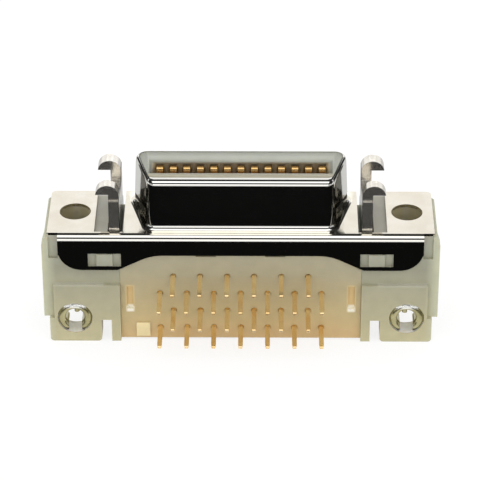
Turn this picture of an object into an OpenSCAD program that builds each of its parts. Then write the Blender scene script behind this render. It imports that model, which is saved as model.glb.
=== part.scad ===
// Right-angle board connector with a shielded D-shaped mating face.
// Sizes are in millimetres.
// The origin lies midway between the two screw holes, on the front face of the flange.
// X runs along the flange, Z is the mating direction, and minus Y points at the circuit board.

/* [Contacts] */
// Contact columns in each of the two rows
contact_columns = 13; // [5:1:20]
// Distance between neighbouring contacts
contact_pitch = 1.27; // [1:0.01:1.6]
// Distance from the middle of the slot to each contact row
row_offset = 1.3; // [1.2:0.05:1.6]
// Width of the spring beams
contact_width = 0.64; // [0.4:0.01:0.8]
// Thickness of the contact strip
contact_sheet = 0.3; // [0.15:0.01:0.35]
// Distance from the middle of the slot to the contact crests
crest_offset = 0.85; // [0.6:0.05:1]
// Height of the crest centres above the flange
crest_height = 3.8; // [3:0.1:4]
// Radius of the crest, to the middle of the strip
crest_radius = 0.3; // [0.25:0.05:0.5]
// Direction in which the crest ends, in degrees from straight outwards
crest_end = 75; // [60:5:90]
// Lean of the spring beams in degrees
beam_lean = 5; // [3:0.5:8]
// Width of the solder tails
tail_width = 0.45; // [0.3:0.01:0.6]
// Depth of the first tail row behind the flange
first_tail_row = 4.53; // [4:0.01:5]
// Distance between neighbouring tail rows
tail_row_pitch = 1.905; // [1.5:0.005:2.1]
// Reach of the tails towards the board
tail_reach = 7.8; // [6:0.1:10]
// Bend radius of the tails, to the middle of the strip
tail_bend = 0.5; // [0.3:0.05:0.8]
// Length of the coined tips
tip_length = 0.4; // [0.2:0.05:0.8]
// Share of the width left at the very tip
tip_share = 0.75; // [0.3:0.05:0.9]
// Length of the chamfer that thins the very tip
tip_chamfer = 0.1; // [0.05:0.01:0.2]
// Share of the thickness left at the very tip
tip_end = 0.35; // [0.2:0.05:0.8]

/* [Mating face] */
// Height of the metal shroud above the flange
shroud_height = 5.05; // [4:0.05:6]
// Height of the plastic mating face above the flange
insulator_height = 4.95; // [4:0.05:6]
// Distance from the middle of the slot to the board-side wall, at half height
shroud_near = 3.15; // [2.8:0.05:3.4]
// Distance from the middle of the slot to the far wall, at half height
shroud_far = 3.15; // [2.8:0.05:3.2]
// Slant of the two end walls in degrees
side_slant = 15; // [5:0.5:25]
// Draft of the drawn wall in degrees
wall_draft = 2.5; // [0:0.5:5]
// Corner radius on the far side
far_corner = 1.2; // [0.9:0.05:1.5]
// Corner radius on the board side
near_corner = 0.95; // [0.95:0.05:1.2]
// Radius of the rim that turns in
rim_radius = 0.5; // [0.35:0.05:0.6]
// Distance from the inside of the wall to the opening, at the ends and on the far side
opening_set = 0.02; // [0:0.01:0.2]
// Distance from the outside of the board-side wall, at half height, to the opening
lip_width = 0.9; // [0.7:0.01:0.92]
// Corner radius of the opening on the board side
opening_corner = 0.55; // [0.3:0.05:0.8]
// Radius of the fillet at the root of the wall
root_radius = 0.5; // [0.3:0.05:0.6]
// Width of the mating slot across the two rows
slot_height = 2.52; // [2:0.02:2.6]
// Slot length beyond the outermost contact centres
slot_margin = 0.98; // [0.7:0.02:1.4]
// Distance from the slot end to the outside of the shroud
wall_margin = 1.4; // [1.2:0.05:2]
// Distance from the flange's front face down to the slot floor
slot_floor = 0.9; // [0.5:0.05:1.2]
// Thickness of the lip over the contact channels
channel_lip = 0.43; // [0.2:0.01:0.5]
// Width of each contact channel
channel_width = 0.76; // [0.6:0.01:0.9]
// Distance from the middle of the slot to the back of the channels
channel_back = 1.75; // [1.6:0.05:2.1]

/* [Shell] */
// Thickness of the shell sheet
sheet = 0.3; // [0.2:0.05:0.35]
// Length of the flange
flange_width = 36.2; // [35:0.1:44]
// Distance from the origin to the far edge of the flange
flange_far = 3.82; // [3.7:0.02:4.4]
// Radius of the far flange corners
flange_corner = 0.5; // [0.1:0.1:0.8]
// Distance from the origin to the outside of the skirt
skirt_face = 4.5; // [4.5:0.05:5]
// Outside radius of the fold between flange and skirt
fold_radius = 0.65; // [0.5:0.05:0.9]
// Distance from the flange end to the skirt end
skirt_inset = 1; // [0.5:0.1:2]
// Depth of the skirt between its lobes
skirt_drop = 2.1; // [1.5:0.1:3]
// Depth of the two end lobes
lobe_drop = 3.7; // [3:0.1:4.5]
// Radius of the outer lobe corners
lobe_corner = 2.2; // [1:0.1:2.5]
// Radius where the lobe slope leaves the centre edge
slope_radius = 4.5; // [1:0.5:6]
// Slope of the inner lobe edge in degrees
lobe_slope = 26.6; // [15:0.2:45]
// Diameter of the screw holes
jack_hole_diameter = 2.95; // [2.6:0.05:3.3]
// Distance from the flange end to the screw hole centre
jack_hole_inset = 2.45; // [2:0.05:3]
// Distance from the latch plate to the inner edge of the flange cut-out
cutout_lead = 0.3; // [0.2:0.05:0.5]
// Width of the flange cut-out
cutout_width = 2.7; // [2.5:0.1:3]
// Metal left between the cut-out and the fold
cutout_web = 0.2; // [0.1:0.05:0.5]
// Distance from the latch plate to the inner edge of the catch window
window_lead = 0.1; // [0:0.05:0.3]
// Length of the deep edge between the lobe slope and the catch window
lobe_lead = 0.35; // [0.1:0.05:0.6]
// Width of the catch windows
window_width = 3.1; // [2:0.1:4]
// Top of the catch windows behind the flange
window_top = 1.9; // [1.5:0.05:2.2]
// Height of the catch windows
window_height = 1.38; // [1:0.02:1.5]
// Width of the catch lugs
lug_width = 1.5; // [1:0.1:2]
// Chamfer on the front of the catch lugs
lug_chamfer = 0.15; // [0.05:0.05:0.3]

/* [Housing] */
// Depth of the housing behind the flange
body_depth = 11.6; // [11.4:0.1:14]
// Housing width beyond each flange end, on the board side
body_overhang = 0.53; // [0.3:0.01:1]
// Housing width beyond each flange end, at the flange and on the far side
block_overhang = 0.28; // [0.1:0.02:0.3]
// Thickness of the wider board side
side_plate = 1.2; // [0.8:0.1:1.5]
// Depth at which the board side reaches its full width
top_taper = 1.15; // [0.8:0.05:1.5]
// Depth of the recess beside each skirt end
edge_recess = 0.3; // [0.1:0.05:0.5]
// Lower end of the recess beside each skirt end
recess_floor = 2.6; // [2:0.1:3]
// Distance from the flange end to the outer side of that recess
recess_inset = 0.1; // [0:0.05:0.3]
// Distance from the origin to the far face of the housing
body_far = 3.5; // [3.3:0.05:3.8]
// Depth of the solid front block
block_depth = 5.36; // [5:0.1:6]
// Distance from the origin to the face that rests on the board
board_face = 4.6; // [4.55:0.05:5]
// Step between the board face and the face behind the skirt
pad_step = 0.4; // [0.2:0.05:0.6]
// Distance from the side of the housing to the raised board pad
pad_inset = 1; // [0.5:0.1:1.5]
// Width of the column that joins each ear to the front block
ear_column = 1.5; // [1.2:0.1:2]
// Thickness of the ears that hold the board clips
ear_thickness = 1.9; // [1.5:0.1:2.5]
// Depth at which the outer side steps in
side_step_depth = 9.03; // [8:0.1:10]
// Width of the step in the outer side
side_step = 0.54; // [0.2:0.05:1]
// Thickness of the cheeks beside the tail aligner
cheek = 0.87; // [0.7:0.05:1.2]
// Width of the slots between cheeks and ears
ear_slot = 0.95; // [0.5:0.05:1.2]
// Depth at which the slots between cheeks and ears begin
ear_slot_start = 9.24; // [8:0.1:10]
// Thickness of the roof over the tails
roof = 1; // [0.7:0.1:1.3]
// Depth of the web that holds the contacts
web_depth = 2.6; // [2:0.1:3]
// Radius of the rounded ear corners
ear_corner = 0.35; // [0.1:0.05:0.6]
// Chamfer on the far outer edges
far_chamfer = 0.6; // [0.2:0.1:1]
// Radius added to the screw holes inside the plastic
jack_clearance = 0.12; // [0.05:0.01:0.3]

/* [Latch posts] */
// Thickness of the latch plate
latch_sheet = 1; // [0.5:0.05:1.2]
// Distance from the shroud's widest point to the latch plate
latch_gap = 1.29; // [1.1:0.01:3]
// Board-side edge of the latch plate
latch_near = 3.52; // [3.4:0.02:3.6]
// Far edge of the latch plate
latch_far = 2.7; // [2.4:0.1:3]
// Width of each prong and hook
prong = 1.35; // [1:0.05:1.6]
// Height of the crotch between the prongs
crotch_height = 2.7; // [2:0.1:3]
// Height of the shoulder on the board-side prong
shoulder_height = 3.16; // [2.9:0.02:3.4]
// Setback of the shoulder
shoulder_set = 0.25; // [0.1:0.05:0.7]
// Radius of the hook heads
hook_radius = 1.1; // [0.9:0.01:1.2]
// Height of the flat underside of the hooks
hook_underside = 3.75; // [3.5:0.01:4]
// Distance from the centre of a hook head up to its underside
hook_cut = 0.12; // [0:0.01:0.3]
// Depth of the latch plate in the housing
latch_depth = 3.3; // [2:0.1:3.5]
// Extra room behind the latch plate in its pocket
pocket_room = 0.14; // [0:0.02:0.2]
// Depth of the slot in front of the latch plate
latch_slot = 1.3; // [0.8:0.1:1.5]

/* [Board clips] */
// Distance from the screw hole centre to the clip centre, along X
clip_shift = 0.05; // [0:0.05:0.5]
// Depth of the clip centre behind the flange
clip_depth = 9; // [8.8:0.05:9.2]
// Outside radius of the rolled front of the clip
clip_radius = 1.64; // [1.5:0.02:1.8]
// Inside radius of the clip throat
clip_throat = 0.84; // [0.6:0.02:0.9]
// Thickness of the clip metal
clip_sheet = 0.2; // [0.1:0.05:0.3]
// Distance from the far face of the ear to the end of the throat
clip_short = 0.2; // [0:0.05:0.4]
// Width of the opening at the bottom of the clip
clip_gap = 1.25; // [0.8:0.05:1.5]
// Height of the crossbar above the clip centre
bar_height = 1.3; // [1.1:0.05:1.4]
// Radius of the crossbar
bar_radius = 0.14; // [0.1:0.01:0.2]
// Radius of the bead in the middle of the crossbar
bead_radius = 0.34; // [0.2:0.02:0.4]
// Distance from the clip centre to the bead, towards the middle of the connector
bead_shift = 0.2; // [0:0.05:0.3]
// Radius of the finger below the bead
finger_radius = 0.24; // [0.1:0.02:0.3]
// Height of the finger's end above the clip centre
finger_end = 0.6; // [0.5:0.05:0.9]

/* [Tail aligner] */
// Thickness of the tail aligner
aligner_thickness = 1.8; // [1.2:0.1:2.2]
// Depth at which the aligner begins, behind the flange
aligner_start = 1.62; // [1.5:0.02:2]
// Depth at which the aligner widens below the latch plates
aligner_shoulder = 3.75; // [3.5:0.05:4]
// Distance from the latch plate's inner face to the aligner end
aligner_lap = 0.08; // [0:0.02:0.2]
// Distance from the housing end to the aligner end
aligner_setback = 0.15; // [0:0.05:0.5]
// Radius of the lead-ins round the tails
lead_in = 0.42; // [0.3:0.02:0.5]
// Depth of the lead-ins
lead_in_depth = 0.12; // [0.05:0.01:0.2]
// Distance from the aligner end to the raised pad
pad_edge = 1.45; // [0.5:0.05:2]
// Width of the raised pad
pad_width = 1.3; // [0.8:0.1:2]
// Height of the raised pad
pad_height = 1.5; // [1:0.1:2]
// Distance from the bottom of the aligner to the raised pad
pad_base = 0.25; // [0:0.05:0.5]
// Rise of the pad
pad_rise = 0.15; // [0.05:0.05:0.3]
// Distance from the aligner end to each slit
slit_edge = 0.6; // [0.4:0.05:1]
// Width of each slit
slit_width = 0.6; // [0.3:0.05:0.8]
// Depth of the top end of each slit behind the flange
slit_top = 5.7; // [5:0.1:6]
// Length of each slit
slit_length = 2.5; // [1:0.1:3]
// Depth of each slit in the face of the aligner
slit_cut = 0.3; // [0.1:0.05:0.6]
// Distance from the middle to each notch in the collar
notch_inner = 2.3; // [1.5:0.1:3]
// Width of each notch
notch_width = 1.9; // [1:0.1:2.5]
// Depth of the notches in the face of the collar
notch_cut = 0.3; // [0.1:0.05:0.6]
// Lower end of the notches behind the flange
notch_floor = 2.4; // [2:0.1:2.8]

/* [Hidden] */
$fn = 48;
// Play between parts that fit together
play = 0.02;
// Extra depth for cuts that have to pass right through
through = 1;
// Overlap between shapes that are drawn as one
lap = 0.1;
// Half the overlap of the drawn wall with the flange at its foot
foot_lap = 0.03;
// Radius left open at the centre of the board-side corners before the opening is cut
corner_core = 0.02;

contact_x = [for (i = [0 : contact_columns - 1]) (i - (contact_columns - 1) / 2) * contact_pitch];
slot_half = (contact_columns - 1) / 2 * contact_pitch + slot_margin;
shroud_half = slot_half + wall_margin;
half_flange = flange_width / 2;
half_body = half_flange + body_overhang;
half_block = half_flange + block_overhang;
jack_x = half_flange - jack_hole_inset;
clip_x = jack_x + clip_shift;
skirt_half = half_flange - skirt_inset;

latch_x = shroud_half + latch_gap;
cutout_inner = latch_x - cutout_lead;
cutout_near = skirt_face - fold_radius - cutout_web;

aligner_half = latch_x + aligner_lap;
collar_half = cutout_inner;
cheek_outer = aligner_half + cheek;
ear_inner = cheek_outer + ear_slot;
window_inner = latch_x - window_lead;
window_middle = window_inner + window_width / 2;
plate_y = -(board_face - pad_step);

rail = contact_sheet + 2 * play;
spine_x = shroud_half - far_corner;
spine_y = shroud_far - far_corner;
normal = [cos(side_slant), -sin(side_slant)];
near_x = near_centre(far_corner, near_corner, shroud_near).x;
side_run = (spine_y + (far_corner - near_corner) * normal.y + shroud_near - near_corner) / cos(side_slant);

contact_names = [for (row = ["upper", "lower"]) for (i = [1 : contact_columns]) str("contact_", row, "_", i)];

// Draws its children in the XZ plane and extends them from one Y to another
module along_y(from, to)
    translate([0, to, 0])
        rotate([90, 0, 0])
            linear_extrude(to - from)
                children();

// Draws its children in the YZ plane and extends them to both sides of the middle
module along_x(length)
    translate([-length / 2, 0, 0])
        rotate([90, 0, 90])
            linear_extrude(length)
                children();

module both_sides() {
    children();
    mirror([1, 0, 0])
        children();
}

// Part of a ring between two directions
module arc_strip(inner, outer, from, to) {
    middle = (from + to) / 2;
    reach = 2 * outer;
    intersection() {
        difference() {
            circle(outer);
            circle(inner);
        }
        polygon([
            [0, 0],
            reach * [cos(from), sin(from)],
            1.5 * reach * [cos(middle), sin(middle)],
            reach * [cos(to), sin(to)]
        ]);
    }
}

// Points along an arc, with a facet for every ten degrees or so
function arc_points(centre, radius, from, to) =
    let (steps = ceil(abs(to - from) / 10))
    [for (i = [0 : steps]) let (a = from + (to - from) * i / steps) centre + radius * [cos(a), sin(a)]];

// Centre of a board-side corner of a D outline, from its two radii and its board-side edge
function near_centre(far, near, edge) =
    let (drop = spine_y + (far - near) * normal.y - near + edge)
    [spine_x + (far - near) * normal.x - drop * tan(side_slant), near - edge];

// A D outline with its far corners round the ends of the spine
module d_shape(far, near, edge) {
    right = concat(
        arc_points([spine_x, spine_y], far, 90, -side_slant),
        arc_points(near_centre(far, near, edge), near, -side_slant, -90)
    );
    left = [for (i = [len(right) - 1 : -1 : 0]) [-right[i].x, right[i].y]];
    polygon(concat(right, left));
}

// The outline of the shroud at half height, grown outwards by a distance
module d_outline(grow)
    d_shape(far_corner + grow, near_corner + grow, shroud_near + grow);

// Section of the drawn wall: distance outwards from the half-height outline, then height
wall_outward = [cos(wall_draft), sin(wall_draft)];
rim_start = shroud_height - rim_radius * (1 - sin(wall_draft));
root_end = root_radius * (1 - sin(wall_draft));
function wall_at(height) = [(shroud_height / 2 - height) * tan(wall_draft), height];
rim_centre = wall_at(rim_start) - rim_radius * wall_outward;
root_centre = wall_at(root_end) + root_radius * wall_outward;
wall_inside = wall_at(rim_start).x - sheet;
lip_end = corner_core - near_corner;

module wall_section()
    polygon(concat(
        [[root_centre.x + 2 * foot_lap, 0]],
        arc_points(root_centre, root_radius, 270, 180 + wall_draft),
        arc_points(rim_centre, rim_radius, wall_draft, 90),
        [[lip_end, shroud_height], [lip_end, shroud_height - sheet]],
        arc_points(rim_centre, rim_radius - sheet, 90, wall_draft),
        arc_points(root_centre, root_radius + sheet, 180 + wall_draft, 270),
        [[root_centre.x + 2 * foot_lap, -sheet]]
    ));

// Outline of the opening in the top of the shroud, made smaller by a distance
module opening_outline(inset)
    d_shape(
        far_corner + wall_inside - opening_set - inset,
        opening_corner - inset,
        shroud_near - lip_width - inset
    );

// The drawn wall with its lip, pierced by the opening
module shroud()
    difference() {
        shroud_wall();
        translate([0, 0, rim_centre.y])
            linear_extrude(rim_radius + through)
                opening_outline(0);
    }

// Sweeps the wall section once round the D outline
module shroud_wall() {
    translate([-spine_x, spine_y, 0])
        wall_run(far_corner, 90, 2 * spine_x);
    both_sides()
        translate([spine_x, spine_y, 0]) {
            wall_turn(far_corner, -side_slant, 90 + side_slant);
            wall_run(far_corner, -side_slant, side_run);
            rotate([0, 0, -side_slant])
                translate([far_corner - near_corner, -side_run, 0]) {
                    wall_turn(near_corner, side_slant - 90, 90 - side_slant);
                    wall_run(near_corner, side_slant - 90, near_x + lap);
                }
        }
}

module wall_run(radius, direction, length)
    rotate([90, 0, direction])
        linear_extrude(length)
            translate([radius, 0])
                wall_section();

module wall_turn(radius, direction, sweep)
    rotate([0, 0, direction])
        rotate_extrude(angle = sweep)
            translate([radius, 0])
                wall_section();

module flange_outline() {
    near_edge = skirt_face - fold_radius;
    translate([-half_flange, -near_edge])
        square([flange_width, near_edge + flange_far - flange_corner]);
    translate([flange_corner - half_flange, 0])
        square([flange_width - 2 * flange_corner, flange_far]);
    for (side = [-1, 1])
        translate([side * (half_flange - flange_corner), flange_far - flange_corner])
            circle(flange_corner);
}

module flange_plate()
    translate([0, 0, -sheet])
        linear_extrude(sheet)
            difference() {
                flange_outline();
                d_outline(root_centre.x + foot_lap);
                both_sides() {
                    translate([jack_x, 0])
                        circle(d = jack_hole_diameter);
                    translate([cutout_inner, -cutout_near])
                        square([cutout_width, cutout_near + flange_far + through]);
                }
            }

// Outline of the skirt: a shallow middle, two deep lobes and a rounded run between them
module skirt_outline() {
    lobe_flat = skirt_half - lobe_corner;
    slope_end = window_inner + lobe_lead;
    slope_start = slope_end - (lobe_drop - skirt_drop) / tan(lobe_slope);
    tangent = slope_radius * tan(lobe_slope / 2);
    translate([-skirt_half, -skirt_drop])
        square([2 * skirt_half, skirt_drop - fold_radius]);
    both_sides() {
        polygon([
            [slope_start, -skirt_drop],
            [slope_end, -lobe_drop],
            [lobe_flat, -lobe_drop],
            [lobe_flat, -skirt_drop]
        ]);
        translate([lobe_flat, lobe_corner - lobe_drop])
            circle(lobe_corner);
        difference() {
            polygon([
                [slope_start - tangent, -skirt_drop],
                [slope_start + tangent * cos(lobe_slope), -skirt_drop - tangent * sin(lobe_slope)],
                [slope_start + tangent, -skirt_drop]
            ]);
            translate([slope_start - tangent, -skirt_drop - slope_radius])
                circle(slope_radius);
        }
    }
}

module skirt() {
    along_y(-skirt_face, -skirt_face + sheet)
        difference() {
            intersection() {
                skirt_outline();
                translate([-skirt_half, -lobe_drop])
                    square([2 * skirt_half, lobe_drop - fold_radius]);
            }
            both_sides()
                translate([window_inner, -window_top - window_height])
                    square([window_width, window_height]);
        }
    along_x(2 * skirt_half)
        translate([fold_radius - skirt_face, -fold_radius])
            arc_strip(fold_radius - sheet, fold_radius, 90, 180);
}

module front_shell()
    color("Gainsboro") {
        flange_plate();
        skirt();
        shroud();
    }

// Side view of the mating half of a contact, measured away from the middle of the slot
crest_centre = [crest_offset + crest_radius + contact_sheet / 2, crest_height];
beam_top = crest_centre - crest_radius * [cos(beam_lean), sin(beam_lean)];
beam_foot = beam_top.y - (row_offset - beam_top.x) / tan(beam_lean);

module beam_profile() {
    half = contact_sheet / 2;
    lean = half * [cos(beam_lean), sin(beam_lean)];
    mitre = half / cos(beam_lean / 2) * [cos(beam_lean / 2), sin(beam_lean / 2)];
    polygon([
        beam_top - lean,
        beam_top + lean,
        [row_offset, beam_foot] + mitre,
        [row_offset + half, -web_depth],
        [row_offset - half, -web_depth],
        [row_offset, beam_foot] - mitre
    ]);
    translate(crest_centre)
        arc_strip(crest_radius - half, crest_radius + half, crest_end, 180 + beam_lean);
}

// Side view of the tail half: down from the web, round the bend and out to the board
module tail_profile(run_y, depth) {
    half = contact_sheet / 2;
    translate([run_y - half, tail_bend - depth])
        square([contact_sheet, depth - tail_bend - web_depth + lap]);
    translate([run_y - tail_bend, tail_bend - depth])
        arc_strip(tail_bend - half, tail_bend + half, -90, 0);
    polygon([
        [run_y - tail_bend, half - depth],
        [tip_chamfer - tail_reach, half - depth],
        [-tail_reach, half * tip_end - depth],
        [-tail_reach, -half * tip_end - depth],
        [tip_chamfer - tail_reach, -half - depth],
        [run_y - tail_bend, -half - depth]
    ]);
}

// Plan of the tail half, with the sides coined in towards the tip
module tail_plan() {
    half = tail_width / 2;
    polygon([
        [-half, row_offset + through],
        [-half, tip_length - tail_reach],
        [-half * tip_share, -tail_reach],
        [half * tip_share, -tail_reach],
        [half, tip_length - tail_reach],
        [half, row_offset + through]
    ]);
}

// Row is 1 for the row away from the board and minus 1 for the row beside it
module contact(row, depth)
    color("Goldenrod") {
        along_x(contact_width)
            scale([row, 1])
                beam_profile();
        intersection() {
            along_x(2 * tail_width)
                tail_profile(row * row_offset, depth);
            translate([0, 0, -depth - through])
                linear_extrude(depth + through)
                    tail_plan();
        }
    }

// Tail rows: every other column sits one row further back
function tail_depth(row, column) =
    first_tail_row + tail_row_pitch * ((row > 0 ? 2 : 0) + (column % 2 == 0 ? 0 : 1));

module placed_contact(row, column)
    translate([contact_x[column - 1], 0, 0])
        contact(row, tail_depth(row, column));

// Front view of the wider board side, slightly narrower at the flange
module plate_outline()
    polygon([
        [-half_block, -sheet],
        [half_block, -sheet],
        [half_body, -top_taper],
        [half_body, -block_depth],
        [-half_body, -block_depth],
        [-half_body, -top_taper]
    ]);

module front_block()
    difference() {
        union() {
            along_y(plate_y, plate_y + side_plate)
                plate_outline();
            along_y(plate_y, body_far)
                translate([-half_block, -block_depth])
                    square([2 * half_block, block_depth - sheet]);
        }
        fold_chamfer();
        both_sides() {
            translate([jack_x, 0, -block_depth - through])
                cylinder(h = block_depth + through, d = jack_hole_diameter + 2 * jack_clearance);
            translate([latch_x - play, -latch_near - play, -latch_depth - play])
                cube([latch_sheet + 2 * play + pocket_room, latch_near + latch_far + 2 * play, latch_depth]);
            translate([cutout_inner, -latch_near - play, -latch_slot])
                cube([cutout_lead, body_far + latch_near + play + through, latch_slot]);
            translate([skirt_half, plate_y - through, -recess_floor])
                cube([half_flange - recess_inset - skirt_half, through + edge_recess, recess_floor]);
            translate([half_block, body_far, -block_depth - through])
                rotate([0, 0, 45])
                    translate([-far_chamfer / sqrt(2), -2 * far_chamfer, 0])
                        cube([2 * far_chamfer, 4 * far_chamfer, block_depth + through]);
        }
    }

// Chamfer that clears the inside of the fold between flange and skirt
module fold_chamfer() {
    chamfer = fold_radius - sheet;
    along_x(2 * (skirt_half + play))
        polygon([
            [plate_y - through, -sheet + through],
            [plate_y - through, -sheet - chamfer - through],
            [plate_y + chamfer + through, -sheet + through]
        ]);
}

// Room for the tail aligner: a narrow collar in front, the full width behind it and the space round the tails
module aligner_pocket() {
    room = body_far - roof - plate_y + through;
    collar_room = web_depth + through - aligner_start + play;
    translate([-collar_half, plate_y - through, -block_depth - through])
        cube([2 * collar_half, room, block_depth + through - web_depth]);
    translate([-collar_half, plate_y - through, -web_depth - through])
        cube([2 * collar_half, aligner_thickness + play + through, collar_room]);
    translate([-aligner_half, plate_y - through, -block_depth - through])
        cube([2 * aligner_half, room, block_depth + through - aligner_shoulder + play]);
}

// An ear with its clip hole, and the cheek beside the tail aligner
module ear_outline() {
    ear_outer = half_body - side_step;
    translate([aligner_half, -ear_slot_start])
        square([half_body - pad_inset - aligner_half, ear_slot_start - block_depth]);
    translate([ear_inner, -body_depth + ear_corner])
        square([ear_outer - ear_inner, body_depth - ear_corner - side_step_depth]);
    translate([ear_inner + ear_corner, -body_depth])
        square([ear_outer - ear_inner - 2 * ear_corner, body_depth - side_step_depth]);
    for (x = [ear_inner + ear_corner, ear_outer - ear_corner])
        translate([x, -body_depth + ear_corner])
            circle(ear_corner);
    translate([aligner_half, -body_depth])
        square([cheek, body_depth - block_depth]);
}

module clip_hole()
    translate([clip_x, 0, -clip_depth])
        rotate([90, 0, 0])
            cylinder(h = 4 * board_face, r = clip_radius + play, center = true);

module ear()
    difference() {
        union() {
            along_y(-board_face, ear_thickness - board_face)
                ear_outline();
            along_y(plate_y, ear_thickness - board_face)
                translate([half_body - ear_column, -side_step_depth])
                    square([ear_column, side_step_depth - block_depth]);
            along_y(-board_face, body_far)
                translate([aligner_half, -body_depth])
                    square([cheek, body_depth - block_depth]);
        }
        clip_hole();
    }

// Catch lug that fills the middle of a skirt window, with its front edge bevelled
module catch_lug()
    translate([window_middle - lug_width / 2, 0, -window_top - window_height + play])
        rotate([90, 0, 90])
            linear_extrude(lug_width)
                polygon([
                    [plate_y + lap, 0],
                    [-skirt_face, 0],
                    [-skirt_face, window_height - 2 * play - lug_chamfer],
                    [-skirt_face + sheet, window_height - 2 * play],
                    [plate_y + lap, window_height - 2 * play]
                ]);

// The plastic that fills the shroud and shows in its opening
module nose()
    translate([0, 0, -web_depth]) {
        linear_extrude(rim_centre.y + web_depth)
            d_outline(wall_inside - play);
        linear_extrude(insulator_height + web_depth)
            opening_outline(play);
    }

module mating_slot() {
    translate([-slot_half, -slot_height / 2, -slot_floor])
        cube([2 * slot_half, slot_height, slot_floor + insulator_height + through]);
    for (x = contact_x)
        translate([x, 0, 0])
            contact_channels();
}

module contact_channels() {
    translate([-channel_width / 2, -channel_back, -slot_floor])
        cube([channel_width, 2 * channel_back, slot_floor + insulator_height - channel_lip]);
    for (row = [-1, 1])
        translate([-contact_width / 2 - play, row * row_offset - rail / 2, -web_depth - through])
            cube([contact_width + 2 * play, rail, web_depth + through]);
}

module roof_plate()
    translate([-aligner_half, body_far - roof, -body_depth])
        cube([2 * aligner_half, roof, body_depth - block_depth]);

module housing()
    color("Wheat") {
        difference() {
            union() {
                front_block();
                nose();
                roof_plate();
                both_sides() {
                    ear();
                    catch_lug();
                }
            }
            mating_slot();
            aligner_pocket();
        }
    }

// Block that lines the tails up, with lead-ins and small features on its face
module tail_aligner() {
    half = aligner_half - play;
    bottom = aligner_setback - body_depth;
    color("Tan")
        difference() {
            union() {
                translate([-half, plate_y, bottom])
                    cube([2 * half, aligner_thickness, -aligner_shoulder - bottom]);
                translate([play - collar_half, plate_y, bottom])
                    cube([2 * (collar_half - play), aligner_thickness, -aligner_start - bottom]);
                translate([pad_edge - half, plate_y - pad_rise, bottom + pad_base])
                    cube([pad_width, 2 * pad_rise, pad_height]);
            }
            for (row = [-1, 1])
                for (column = [1 : contact_columns])
                    translate([contact_x[column - 1], 0, -tail_depth(row, column)])
                        tail_hole();
            both_sides() {
                translate([half - slit_edge - slit_width, plate_y - through, -slit_top - slit_length])
                    cube([slit_width, through + slit_cut, slit_length]);
                translate([notch_inner, plate_y - through, -notch_floor])
                    cube([notch_width, through + notch_cut, notch_floor - aligner_start + through]);
            }
        }
}

module tail_hole() {
    translate([0, plate_y, 0])
        rotate([90, 0, 0])
            cylinder(h = 2 * lead_in_depth, r1 = lead_in - 2 * lead_in_depth, r2 = lead_in, center = true);
    translate([-tail_width / 2 - play, plate_y - through, -rail / 2])
        cube([tail_width + 2 * play, aligner_thickness + 2 * through, rail]);
}

// Fork-shaped plate that stands in the flange cut-out, with a hook on each prong
module latch_post()
    color("Silver") {
        translate([latch_x, 0, 0])
            rotate([90, 0, 90])
                linear_extrude(latch_sheet)
                    latch_side();
        hook(-latch_near + shoulder_set, -latch_near + prong);
        hook(latch_far - prong, latch_far);
    }

module latch_side()
    difference() {
        translate([-latch_near, -latch_depth])
            square([latch_near + latch_far, latch_depth + hook_underside + lap]);
        translate([prong - latch_near, crotch_height])
            square([latch_near + latch_far - 2 * prong, hook_underside]);
        translate([-latch_near - through, shoulder_height])
            square([shoulder_set + through, hook_underside]);
    }

// Half-round hook head that points away from the shroud
module hook(from, to)
    along_y(from, to)
        intersection() {
            translate([latch_x + hook_radius, hook_underside - hook_cut])
                circle(hook_radius);
            translate([latch_x, hook_underside])
                square([2 * hook_radius, hook_radius]);
        }

// Split clip with a rolled front, a crossbar with a bead and finger, and an opening at the bottom
module board_clip()
    color("LightSteelBlue")
        translate([clip_x, -board_face, -clip_depth])
            difference() {
                union() {
                    rotate([-90, 0, 0])
                        rotate_extrude()
                            clip_section();
                    clip_crossbar();
                }
                translate([-clip_gap / 2, -through, -clip_radius - through])
                    cube([clip_gap, ear_thickness + 2 * through, clip_radius + through]);
            }

// Crossbar, bead and finger, kept inside the round outline of the clip
module clip_crossbar()
    intersection() {
        rotate([-90, 0, 0])
            cylinder(h = ear_thickness, r = clip_radius);
        union() {
            translate([-clip_radius, bar_radius, bar_height])
                rotate([0, 90, 0])
                    cylinder(h = 2 * clip_radius, r = bar_radius);
            translate([-bead_shift, bead_radius, bar_height])
                sphere(bead_radius);
            translate([-bead_shift, bead_radius, finger_end])
                cylinder(h = bar_height - finger_end, r = finger_radius);
        }
    }

// Half section of the clip: radius, then depth from the board face
module clip_section() {
    roll = (clip_radius - clip_throat) / 2;
    centre = [clip_throat + roll, roll];
    polygon(concat(
        arc_points(centre, roll, 0, -180),
        [[clip_throat, ear_thickness - clip_short], [clip_throat + clip_sheet, ear_thickness - clip_short]],
        arc_points(centre, roll - clip_sheet, -180, 0)
    ));
}

front_shell();
housing();
tail_aligner();
mirror([1, 0, 0]) latch_post();  // latch_post_left
latch_post();  // latch_post_right
mirror([1, 0, 0]) board_clip();  // board_clip_left
board_clip();  // board_clip_right
for (i = [1 : contact_columns]) {
    placed_contact(1, i);
    placed_contact(-1, i);
}
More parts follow.
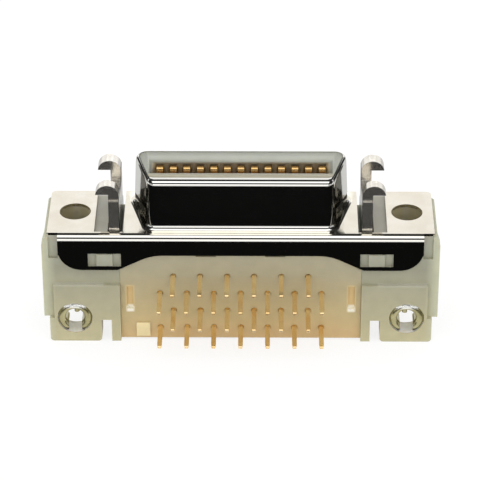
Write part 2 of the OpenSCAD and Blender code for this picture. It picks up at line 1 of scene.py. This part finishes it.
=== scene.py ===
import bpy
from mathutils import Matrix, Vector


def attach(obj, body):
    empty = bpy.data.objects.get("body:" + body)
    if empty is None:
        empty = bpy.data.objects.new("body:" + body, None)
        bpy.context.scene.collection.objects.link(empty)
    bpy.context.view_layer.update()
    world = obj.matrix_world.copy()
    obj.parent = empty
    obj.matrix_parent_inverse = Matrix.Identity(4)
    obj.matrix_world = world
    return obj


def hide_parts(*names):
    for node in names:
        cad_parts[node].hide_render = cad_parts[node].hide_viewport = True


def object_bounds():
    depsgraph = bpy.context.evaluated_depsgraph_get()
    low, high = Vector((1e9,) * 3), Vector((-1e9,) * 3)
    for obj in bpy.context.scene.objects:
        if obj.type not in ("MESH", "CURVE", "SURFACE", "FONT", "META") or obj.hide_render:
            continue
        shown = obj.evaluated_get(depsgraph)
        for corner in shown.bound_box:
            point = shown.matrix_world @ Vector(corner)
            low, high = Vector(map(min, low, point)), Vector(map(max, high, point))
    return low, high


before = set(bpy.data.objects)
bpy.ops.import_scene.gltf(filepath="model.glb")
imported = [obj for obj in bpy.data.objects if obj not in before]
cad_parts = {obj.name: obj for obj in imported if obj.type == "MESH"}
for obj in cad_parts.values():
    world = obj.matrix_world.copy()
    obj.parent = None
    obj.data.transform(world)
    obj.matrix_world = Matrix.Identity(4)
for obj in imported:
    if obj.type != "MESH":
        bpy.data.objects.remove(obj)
cad_box = [list(corner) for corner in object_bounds()]

import math

import bmesh
import bpy
from mathutils import Matrix, Vector

MM = 0.001
FLOOR_Z = cad_box[0][2]


def linear(red, green, blue):
    """A colour given as it should look, from 0 to 255, as the shader's own numbers."""
    out = []
    for value in (red, green, blue):
        v = value / 255
        out.append(v / 12.92 if v <= 0.04045 else ((v + 0.055) / 1.055) ** 2.4)
    return (*out, 1.0)


# Camera: a long lens that looks down at the mating face from the board's side. The focal length is
# in pixels of a picture 480 wide, and the clipping distances are in metres
EYE = Vector((2.502, -216.588, 130.949)) * MM
AIM = Vector((-0.01021, 0.85023, -0.52632)).normalized()
ROLL = math.radians(-0.2013)
SENSOR = 36.0
FOCAL_PIXELS = 2681.04
PICTURE = 480
NEAREST = 0.01
FARTHEST = 10.0


def make_camera():
    data = bpy.data.cameras.new("camera")
    data.sensor_width = SENSOR
    data.lens = FOCAL_PIXELS / PICTURE * SENSOR
    data.clip_start = NEAREST
    data.clip_end = FARTHEST
    camera = bpy.data.objects.new("camera", data)
    bpy.context.scene.collection.objects.link(camera)
    right = AIM.cross(Vector((0, 0, 1))).normalized()
    up = right.cross(AIM).normalized()
    across = math.cos(ROLL) * right + math.sin(ROLL) * up
    upward = -math.sin(ROLL) * right + math.cos(ROLL) * up
    turn = Matrix((across, upward, -AIM)).transposed().to_4x4()
    camera.matrix_world = Matrix.Translation(EYE) @ turn
    bpy.context.scene.camera = camera


# Sockets of a Mix node for colours, whose names it also uses for other kinds of value
MIX_FIRST, MIX_SECOND, MIX_RESULT = 6, 7, 2


class Nodes:
    """Short calls for building one material's nodes."""

    def __init__(self, tree):
        self.tree = tree

    def add(self, kind, **values):
        node = self.tree.nodes.new(kind)
        for key, value in values.items():
            setattr(node, key, value)
        return node

    def link(self, out, into):
        self.tree.links.new(out, into)

    def math(self, operation, a, b=None):
        node = self.add("ShaderNodeMath", operation=operation)
        for socket, value in zip(node.inputs, (a, b)):
            if value is None:
                continue
            if isinstance(value, (int, float)):
                socket.default_value = value
            else:
                self.link(value, socket)
        return node.outputs[0]

    def noise(self, vector, scale, detail=3.0, roughness=0.5):
        node = self.add("ShaderNodeTexNoise")
        node.inputs["Scale"].default_value = scale
        node.inputs["Detail"].default_value = detail
        node.inputs["Roughness"].default_value = roughness
        self.link(vector, node.inputs["Vector"])
        return node.outputs["Fac"]

    def spread(self, value, low, high, start=0.3, end=0.7):
        node = self.add("ShaderNodeMapRange")
        node.inputs["From Min"].default_value = start
        node.inputs["From Max"].default_value = end
        node.inputs["To Min"].default_value = low
        node.inputs["To Max"].default_value = high
        self.link(value, node.inputs["Value"])
        return node.outputs["Result"]

    def inside(self, split, room, soft):
        """1 within a room and 0 outside it, in mm; X counts from the middle to both sides."""
        mask = None
        for axis, (low, high) in zip("XYZ", room):
            value = split.outputs[axis]
            if axis == "X":
                value = self.math("ABSOLUTE", value)
            rise = self.spread(value, 0, 1, (low - soft) * MM, (low + soft) * MM)
            fall = self.spread(value, 1, 0, (high - soft) * MM, (high + soft) * MM)
            part = self.math("MULTIPLY", rise, fall)
            mask = part if mask is None else self.math("MULTIPLY", mask, part)
        return mask

    def mixed(self, factor, first, second, blend="MIX"):
        node = self.add("ShaderNodeMix", data_type="RGBA", blend_type=blend)
        sockets = (node.inputs["Factor"], node.inputs[MIX_FIRST], node.inputs[MIX_SECOND])
        for socket, value in zip(sockets, (factor, first, second)):
            if isinstance(value, (int, float, tuple)):
                socket.default_value = value
            else:
                self.link(value, socket)
        return node.outputs[MIX_RESULT]

    def ramp(self, factor, stops, interpolation="LINEAR"):
        node = self.add("ShaderNodeValToRGB")
        node.color_ramp.interpolation = interpolation
        points = node.color_ramp.elements
        while len(points) < len(stops):
            points.new(1.0)
        for point, (place, colour) in zip(points, stops):
            point.position = place
            point.color = colour
        self.link(factor, node.inputs["Fac"])
        return node.outputs["Color"]

    def bump(self, height, distance, strength=1.0):
        node = self.add("ShaderNodeBump")
        node.inputs["Distance"].default_value = distance
        node.inputs["Strength"].default_value = strength
        self.link(height, node.inputs["Height"])
        return node.outputs["Normal"]


def new_material(name):
    made = bpy.data.materials.new(name)
    made.use_nodes = True
    nodes = Nodes(made.node_tree)
    shader = made.node_tree.nodes["Principled BSDF"]
    place = nodes.add("ShaderNodeTexCoord").outputs["Object"]
    return made, nodes, shader, place


# How fine each noise in a metal is, in cells to the metre, and the span over which its colours mix
METAL_DRIFT = 450
METAL_GRAIN = 5200
METAL_SWELL = 700
METAL_DETAIL = 4.0
DARK_UNTIL, LIGHT_FROM = 0.35, 0.65


def metal(name, light, dark, smooth, rough, wave, rooms=(), bare=1.0):
    """Plated metal: a slow drift of colour, a finer drift of roughness and a slight waviness.

    In the rooms it has another colour; in some rooms this is painted shade and in others a painted
    highlight.
    With bare below 1, a part of the light scatters as on a matt surface.
    """
    made, nodes, shader, place = new_material(name)
    shader.inputs["Metallic"].default_value = bare
    drift = nodes.noise(place, METAL_DRIFT)
    tint = nodes.ramp(drift, [(DARK_UNTIL, dark), (LIGHT_FROM, light)])
    if rooms:
        split = nodes.add("ShaderNodeSeparateXYZ")
        nodes.link(place, split.inputs[0])
        for room, soft, colour in rooms:
            tint = nodes.mixed(nodes.inside(split, room, soft), tint, linear(*colour))
    nodes.link(tint, shader.inputs["Base Color"])
    grain = nodes.noise(place, METAL_GRAIN, METAL_DETAIL)
    nodes.link(nodes.spread(grain, smooth, rough), shader.inputs["Roughness"])
    swell = nodes.noise(place, METAL_SWELL, METAL_DETAIL)
    nodes.link(nodes.bump(swell, wave), shader.inputs["Normal"])
    return made


# The same for a plastic, then how far clouds move its colours, how far they darken and lighten it,
# how far its roughness varies, the depth of its grain in mm and how far each colour of light seeps
PLASTIC_CLOUD = 380
PLASTIC_SHADE = 900
PLASTIC_GRAIN = 9000
CLOUD_SHIFT = 0.03
SHADE_DARK, SHADE_LIGHT = 0.955, 1.03
GRAIN_SPREAD = 0.06
GRAIN_DEPTH = 0.004
SEEP = (1.0, 0.8, 0.5)


def plastic(name, levels, rooms, rough, glow, radius):
    """Moulded plastic: colours that change slowly with height, cloudy, with a fine matte grain.

    In the rooms, which are thin or shaded places, it has another colour: painted shade in recesses and
    holes, painted highlights on edges, and painted light that stands for light seeping through.
    """
    made, nodes, shader, place = new_material(name)
    split = nodes.add("ShaderNodeSeparateXYZ")
    nodes.link(place, split.inputs[0])
    low, high = levels[0][0], levels[-1][0]
    height = nodes.spread(split.outputs["Z"], 0, 1, low * MM, high * MM)
    stops = [((z - low) / (high - low), linear(*colour)) for z, colour in levels]
    cloud = nodes.noise(place, PLASTIC_CLOUD, 3.0, 0.6)
    shift = nodes.spread(cloud, -CLOUD_SHIFT, CLOUD_SHIFT)
    tint = nodes.ramp(nodes.math("ADD", height, shift), stops)
    for room, soft, colour in rooms:
        tint = nodes.mixed(nodes.inside(split, room, soft), tint, linear(*colour))
    shade = nodes.spread(nodes.noise(place, PLASTIC_SHADE, 2.0), SHADE_DARK, SHADE_LIGHT)
    grey = nodes.add("ShaderNodeCombineColor")
    for channel in ("Red", "Green", "Blue"):
        nodes.link(shade, grey.inputs[channel])
    nodes.link(nodes.mixed(1.0, tint, grey.outputs[0], "MULTIPLY"), shader.inputs["Base Color"])
    grain = nodes.noise(place, PLASTIC_GRAIN, 3.0)
    worn = nodes.spread(grain, rough - GRAIN_SPREAD, rough + GRAIN_SPREAD)
    nodes.link(worn, shader.inputs["Roughness"])
    nodes.link(nodes.bump(grain, GRAIN_DEPTH * MM), shader.inputs["Normal"])
    shader.inputs["Subsurface Weight"].default_value = glow
    shader.inputs["Subsurface Radius"].default_value = SEEP
    shader.inputs["Subsurface Scale"].default_value = radius * MM
    return made


# What the shroud encloses, with the slot and its contact channels, where the housing's edges stay
# crisp: half width, half depth and floor
SHROUD_ROOM = (10.6, 4.0, -4.0)


def outside_shroud(edge):
    middle = (edge.verts[0].co + edge.verts[1].co) / 2
    half_width, half_depth, floor = (value * MM for value in SHROUD_ROOM)
    return abs(middle.x) > half_width or abs(middle.y) > half_depth or middle.z < floor


# Corners closer than this in mm are joined, and faces that turn by less than this in degrees
WELD = 0.0003
FLAT = 0.5


def finished(node, material, edge, segments=2, corner=30, chosen=None):
    """A piece made from a CAD node's own surface, with rounded edges and smooth normals.

    Edges that turn by more than the corner angle are rounded, or only the chosen ones of them.
    """
    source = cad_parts[node]
    mesh = source.data.copy()
    mesh.name = "look_" + node
    if "custom_normal" in mesh.attributes:
        mesh.attributes.remove(mesh.attributes["custom_normal"])
    work = bmesh.new()
    work.from_mesh(mesh)
    bmesh.ops.remove_doubles(work, verts=work.verts, dist=WELD * MM)
    bmesh.ops.dissolve_limit(
        work, angle_limit=math.radians(FLAT), verts=work.verts, edges=work.edges)
    for face in work.faces:
        face.smooth = True
    if chosen:
        weight = work.edges.layers.float.new("bevel_weight_edge")
        for line in work.edges:
            sharp = line.is_manifold and line.calc_face_angle() > math.radians(corner)
            line[weight] = 1.0 if sharp and chosen(line) else 0.0
    work.to_mesh(mesh)
    work.free()
    mesh.materials.clear()
    mesh.materials.append(material)
    piece = bpy.data.objects.new("look_" + node, mesh)
    bpy.context.scene.collection.objects.link(piece)
    bevel = piece.modifiers.new("edges", "BEVEL")
    bevel.width = edge * MM
    bevel.segments = segments
    bevel.limit_method = "WEIGHT" if chosen else "ANGLE"
    bevel.angle_limit = math.radians(corner)
    bevel.harden_normals = True
    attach(piece, "root")
    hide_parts(node)
    return piece


def stage_plane(name, x_from, x_to, y_from, y_to, z, material):
    mesh = bpy.data.meshes.new(name)
    corners = [(x_from, y_from, z), (x_to, y_from, z), (x_to, y_to, z), (x_from, y_to, z)]
    mesh.from_pydata(corners, [], [(0, 1, 2, 3)])
    mesh.materials.append(material)
    plane = bpy.data.objects.new(name, mesh)
    bpy.context.scene.collection.objects.link(plane)
    return plane


# The floor: half its width in metres, its glow, the distances in mm over which the glow that
# reflections see falls to half, and how pale it is to scattered light and to the eye
FLOOR_HALF = 0.6
FLOOR_GLOW = 0.79
GLOW_NEAR, GLOW_FAR = 20, 32
PAPER = 0.8
FAINT = 0.25


def make_floor():
    """A white floor that glows only for the eye and for reflections, and keeps a faint shadow."""
    made = bpy.data.materials.new("floor")
    made.use_nodes = True
    nodes = Nodes(made.node_tree)
    made.node_tree.nodes.clear()
    out = nodes.add("ShaderNodeOutputMaterial").inputs["Surface"]
    path = nodes.add("ShaderNodeLightPath").outputs
    seen = nodes.math("MAXIMUM", path["Is Camera Ray"], path["Is Glossy Ray"])
    seen = nodes.math("MAXIMUM", seen, path["Is Transmission Ray"])
    paper = nodes.add("ShaderNodeBsdfDiffuse")
    paper.inputs["Color"].default_value = (PAPER, PAPER, PAPER, 1)
    faint = nodes.add("ShaderNodeBsdfDiffuse")
    faint.inputs["Color"].default_value = (FAINT, FAINT, FAINT, 1)
    glow = nodes.add("ShaderNodeEmission")
    place = nodes.add("ShaderNodeTexCoord").outputs["Object"]
    reach = nodes.add("ShaderNodeVectorMath", operation="LENGTH")
    nodes.link(place, reach.inputs[0])
    near, far = GLOW_NEAR * MM, GLOW_FAR * MM
    falling = nodes.spread(reach.outputs["Value"], FLOOR_GLOW, 0.5 * FLOOR_GLOW, near, far)
    level = nodes.add("ShaderNodeMix")
    nodes.link(path["Is Camera Ray"], level.inputs["Factor"])
    nodes.link(falling, level.inputs["A"])
    level.inputs["B"].default_value = FLOOR_GLOW
    nodes.link(level.outputs["Result"], glow.inputs["Strength"])
    both = nodes.add("ShaderNodeAddShader")
    nodes.link(faint.outputs[0], both.inputs[0])
    nodes.link(glow.outputs[0], both.inputs[1])
    mix = nodes.add("ShaderNodeMixShader")
    nodes.link(seen, mix.inputs["Fac"])
    nodes.link(paper.outputs[0], mix.inputs[1])
    nodes.link(both.outputs[0], mix.inputs[2])
    nodes.link(mix.outputs[0], out)
    stage_plane("floor", -FLOOR_HALF, FLOOR_HALF, -FLOOR_HALF, FLOOR_HALF, FLOOR_Z, made)


# Black cards just above the floor, in mm: their near edge, lift and faint glow, then for each its
# name, ends along X and far edge
CARD_START = -65
CARD_LIFT = 0.05
CARD_GLOW = 0.004
CARDS = [
    ("card_middle", -22, 22, -11.5),
    ("card_left", -400, -22, 8),
    ("card_right", 22, 400, 8),
]


def make_cards():
    """Black cards around the near side, which only reflections see."""
    made = bpy.data.materials.new("black_card")
    made.use_nodes = True
    nodes = Nodes(made.node_tree)
    made.node_tree.nodes.clear()
    black = nodes.add("ShaderNodeEmission")
    black.inputs["Strength"].default_value = CARD_GLOW
    out = nodes.add("ShaderNodeOutputMaterial")
    nodes.link(black.outputs[0], out.inputs["Surface"])
    height = FLOOR_Z + CARD_LIFT * MM
    for name, x_from, x_to, y_to in CARDS:
        card = stage_plane(name, x_from * MM, x_to * MM, CARD_START * MM, y_to * MM, height, made)
        card.visible_camera = False
        card.visible_diffuse = False
        card.visible_shadow = False
        card.visible_transmission = False


# What reflections show, by the angle in degrees from the back horizon over the top, then brightness.
# The backdrop behind, which hooks and sloping sides show:
BACKDROP = [(0, 1.0), (27, 1.0), (29.5, 0.0), (180, 0.0)]
# The dark room around it all:
ROOM = [(0, 0.03), (180, 0.03)]
# A small light patch above the backdrop, which the level surfaces show:
PATCH = [(26, 0.0), (28, 0.96), (35.5, 0.96), (38.5, 0.0)]
# Two soft boxes overhead and in front, which give the bright lines on folds and rims:
BOXES = [(84, 0.0), (96, 1.47), (122, 1.47), (130, 0.0), (151, 0.0), (156, 1.17), (180, 1.17)]
# Light walls at both sides, which the level surfaces show in views from a corner or from an end:
WALLS = [
    (29, 0.0), (32, 0.8), (50, 0.8), (54, 0.0),
    (150, 0.0), (153, 0.8), (170, 0.8), (173, 0.0),
]
# The ends of the room:
ENDS = [(0, 0.7), (180, 0.7)]
# Each with the sideways part of the direction at which it is fully there and the one where it is gone
REFLECTED = [
    (ROOM, 0, 2),
    (BACKDROP, 0.52, 0.62),
    (PATCH, 0.28, 0.33),
    (BOXES, 0.4, 0.5),
    (WALLS, 0.62, 0.57),
    (ENDS, 0.97, 0.93),
]
# What the eye sees behind the object
BACKGROUND = 0.985
# The light that the matt surfaces get: a plain dome, a little brighter in front
DOME = [(0, 0.85), (90, 1.0), (150, 1.25), (180, 1.2)]


def band_ramp(nodes, share, bands, strength=None):
    """Light whose brightness depends on the angle, times a strength that may vary."""
    top = max(level for angle, level in bands)
    colours = nodes.ramp(share, [(angle / 180, (level / top,) * 3 + (1,)) for angle, level in bands])
    light = nodes.add("ShaderNodeBackground")
    light.inputs["Strength"].default_value = top
    if strength:
        nodes.link(nodes.math("MULTIPLY", strength, top), light.inputs["Strength"])
    nodes.link(colours, light.inputs["Color"])
    return light.outputs[0]


def sum_of(nodes, first, second):
    both = nodes.add("ShaderNodeAddShader")
    nodes.link(first, both.inputs[0])
    nodes.link(second, both.inputs[1])
    return both.outputs[0]


def choice(nodes, factor, off, on):
    mix = nodes.add("ShaderNodeMixShader")
    nodes.link(factor, mix.inputs["Fac"])
    nodes.link(off, mix.inputs[1])
    nodes.link(on, mix.inputs[2])
    return mix.outputs[0]


def make_world():
    world = bpy.data.worlds.new("studio")
    bpy.context.scene.world = world
    world.use_nodes = True
    nodes = Nodes(world.node_tree)
    world.node_tree.nodes.clear()
    way = nodes.add("ShaderNodeTexCoord").outputs["Generated"]
    split = nodes.add("ShaderNodeSeparateXYZ")
    nodes.link(way, split.inputs[0])
    turn = nodes.math("ARCTAN2", split.outputs["Z"], split.outputs["Y"])
    share = nodes.math("DIVIDE", turn, math.pi)
    aside = nodes.math("ABSOLUTE", split.outputs["X"])

    shine = None
    for bands, full, gone in REFLECTED:
        low, high = sorted((full, gone))
        there = nodes.spread(aside, full < gone, full > gone, low, high)
        light = band_ramp(nodes, share, bands, there)
        shine = sum_of(nodes, shine, light) if shine else light
    dome = band_ramp(nodes, share, DOME)
    white = nodes.add("ShaderNodeBackground")
    white.inputs["Color"].default_value = (1, 1, 1, 1)
    white.inputs["Strength"].default_value = BACKGROUND

    path = nodes.add("ShaderNodeLightPath").outputs
    shown = choice(nodes, path["Is Glossy Ray"], dome, shine)
    shown = choice(nodes, path["Is Camera Ray"], shown, white.outputs[0])
    out = nodes.add("ShaderNodeOutputWorld")
    nodes.link(shown, out.inputs["Surface"])


scene = bpy.context.scene
scene.view_settings.view_transform = "Standard"
make_camera()
make_world()
make_floor()
make_cards()

# A room is its spans along X, Y and Z in mm, its softness in mm and its colour. A level of a plastic
# is a height in mm and its colour.
nickel = metal("nickel", linear(244, 239, 226), linear(236, 229, 214), 0.05, 0.1, 0.002 * MM, [
    # The shroud above the flange
    (((-1, 20), (-9, 9), (0.06, 6)), 0.04, (242, 241, 235)),
    # The folded skirt
    (((-1, 20), (-9, 9), (-6, -0.06)), 0.04, (242, 240, 233)),
])
post_nickel = metal("post_nickel", linear(246, 242, 234), linear(234, 229, 219), 0.1, 0.2, 0.03 * MM, [
    # The side of the posts towards the shroud, painted dark: painted shade
    (((10.8, 11.34), (-5, 5), (-4, 4.1)), 0.03, (112, 110, 104)),
], bare=0.93)
clip_tin = metal("clip_tin", linear(194, 187, 144), linear(160, 153, 112), 0.14, 0.26, 0.006 * MM, [
    # The lower end of the rolled front, painted dark: a painted reflection of the dark below it
    (((13.5, 18), (-5, -4.2), (-10.8, -10.1)), 0.12, (66, 60, 44)),
    # The top of the clip, painted white: a painted highlight
    (((14.4, 17), (-5, -2.8), (-7.9, -7)), 0.12, (255, 255, 250)),
], bare=0.8)
gold = metal("gold", linear(255, 230, 176), linear(246, 208, 144), 0.08, 0.16, 0.002 * MM, [
    # The ends of the beams in the slot, painted deeper and paler: painted shade in the slot
    (((-1, 9), (-2, 2), (2.5, 6)), 0.2, (232, 190, 122)),
], bare=0.8)
# The cream's colours by height hold painted light: the darker band at -3.5 mm is painted shade under
# the skirt, the top is painted lighter and cooler as lit from above, and the feet are painted warmer
# as light seeping through
cream = plastic("cream", [
    (-11.6, (202, 194, 156)),
    (-9.5, (188, 181, 146)),
    (-5.4, (174, 171, 146)),
    (-3.5, (160, 159, 139)),
    (-1.2, (182, 182, 166)),
    (-0.4, (180, 176, 162)),
    (0.2, (182, 182, 170)),
    (1.5, (184, 186, 174)),
    (5.0, (184, 186, 174)),
], [
    # The outer ends, painted lighter: painted light
    (((17.9, 19.5), (-6, 6), (-13, 2)), 0.5, (198, 199, 172)),
    # The clip holes, painted nearly white: painted light that stands for light glowing through the
    # plastic
    (((14, 17.4), (-4.5, -2.8), (-10.8, -7.2)), 0.06, (255, 252, 238)),
    # The screw passages, painted darker and warmer: painted shade
    (((14, 17.3), (-1.6, 1.6), (-5.2, -0.4)), 0.06, (178, 168, 136)),
    # The slot, painted lighter and warmer: painted light glowing in its shaded walls
    (((-1, 8.35), (-1.9, 1.9), (-0.8, 4.6)), 0.1, (214, 200, 170)),
    # The body behind the catch windows, painted darker as painted shade, then the lugs in them,
    # painted lighter and cooler as painted light
    (((11, 14.6), (-4, -2.8), (-3.4, -1.8)), 0.05, (162, 160, 142)),
    (((12.15, 13.35), (-4, -3.2), (-3.3, -1.85)), 0.08, (166, 188, 184)),
    # The upper edge of the pads on the ears, painted lighter: a painted highlight
    (((12.9, 17.6), (-4.65, -4.15), (-5.44, -5.28)), 0.08, (190, 188, 170)),
    # The face of the nose on the board side of the slot, painted darker and warmer: painted shade
    (((-1, 9.6), (-3.4, -1.3), (4.6, 5.2)), 0.3, (180, 173, 150)),
], 0.42, 0.2, 0.6)
tan = plastic("tan", [
    (-11.5, (214, 184, 134)),
    (-9.0, (202, 182, 134)),
    (-6.0, (188, 174, 136)),
    (-3.8, (180, 172, 144)),
    (-1.6, (178, 172, 148)),
], [
    # The slits, painted lighter and warmer as painted light, then their lower ends, painted white as a
    # painted highlight
    (((10.1, 10.8), (-4.5, -3.6), (-8.4, -5.6)), 0.15, (228, 200, 142)),
    (((10.1, 10.8), (-4.5, -3.6), (-8.5, -7.9)), 0.1, (255, 250, 232)),
    # The raised pad
    (((8.4, 10.1), (-4.6, -4.29), (-11.6, -9.5)), 0.05, (246, 228, 178)),
    # The tail holes, painted light: painted light in their shaded walls
    (((-1, 8.4), (-4.14, -2.6), (-11.3, -5.2)), 0.03, (255, 228, 158)),
], 0.4, 0.15, 0.6)

# The pieces: CAD node, material and width of the rounded edges in mm, then its segments
finished("front_shell", nickel, 0.03)
finished("housing", cream, 0.1, 3, chosen=outside_shroud)
finished("tail_aligner", tan, 0.04)
for side in ("left", "right"):
    finished("latch_post_" + side, post_nickel, 0.15, 4)
    finished("board_clip_" + side, clip_tin, 0.03)
for row in ("upper", "lower"):
    for column in range(1, 14):
        finished(f"contact_{row}_{column}", gold, 0.08, 3)
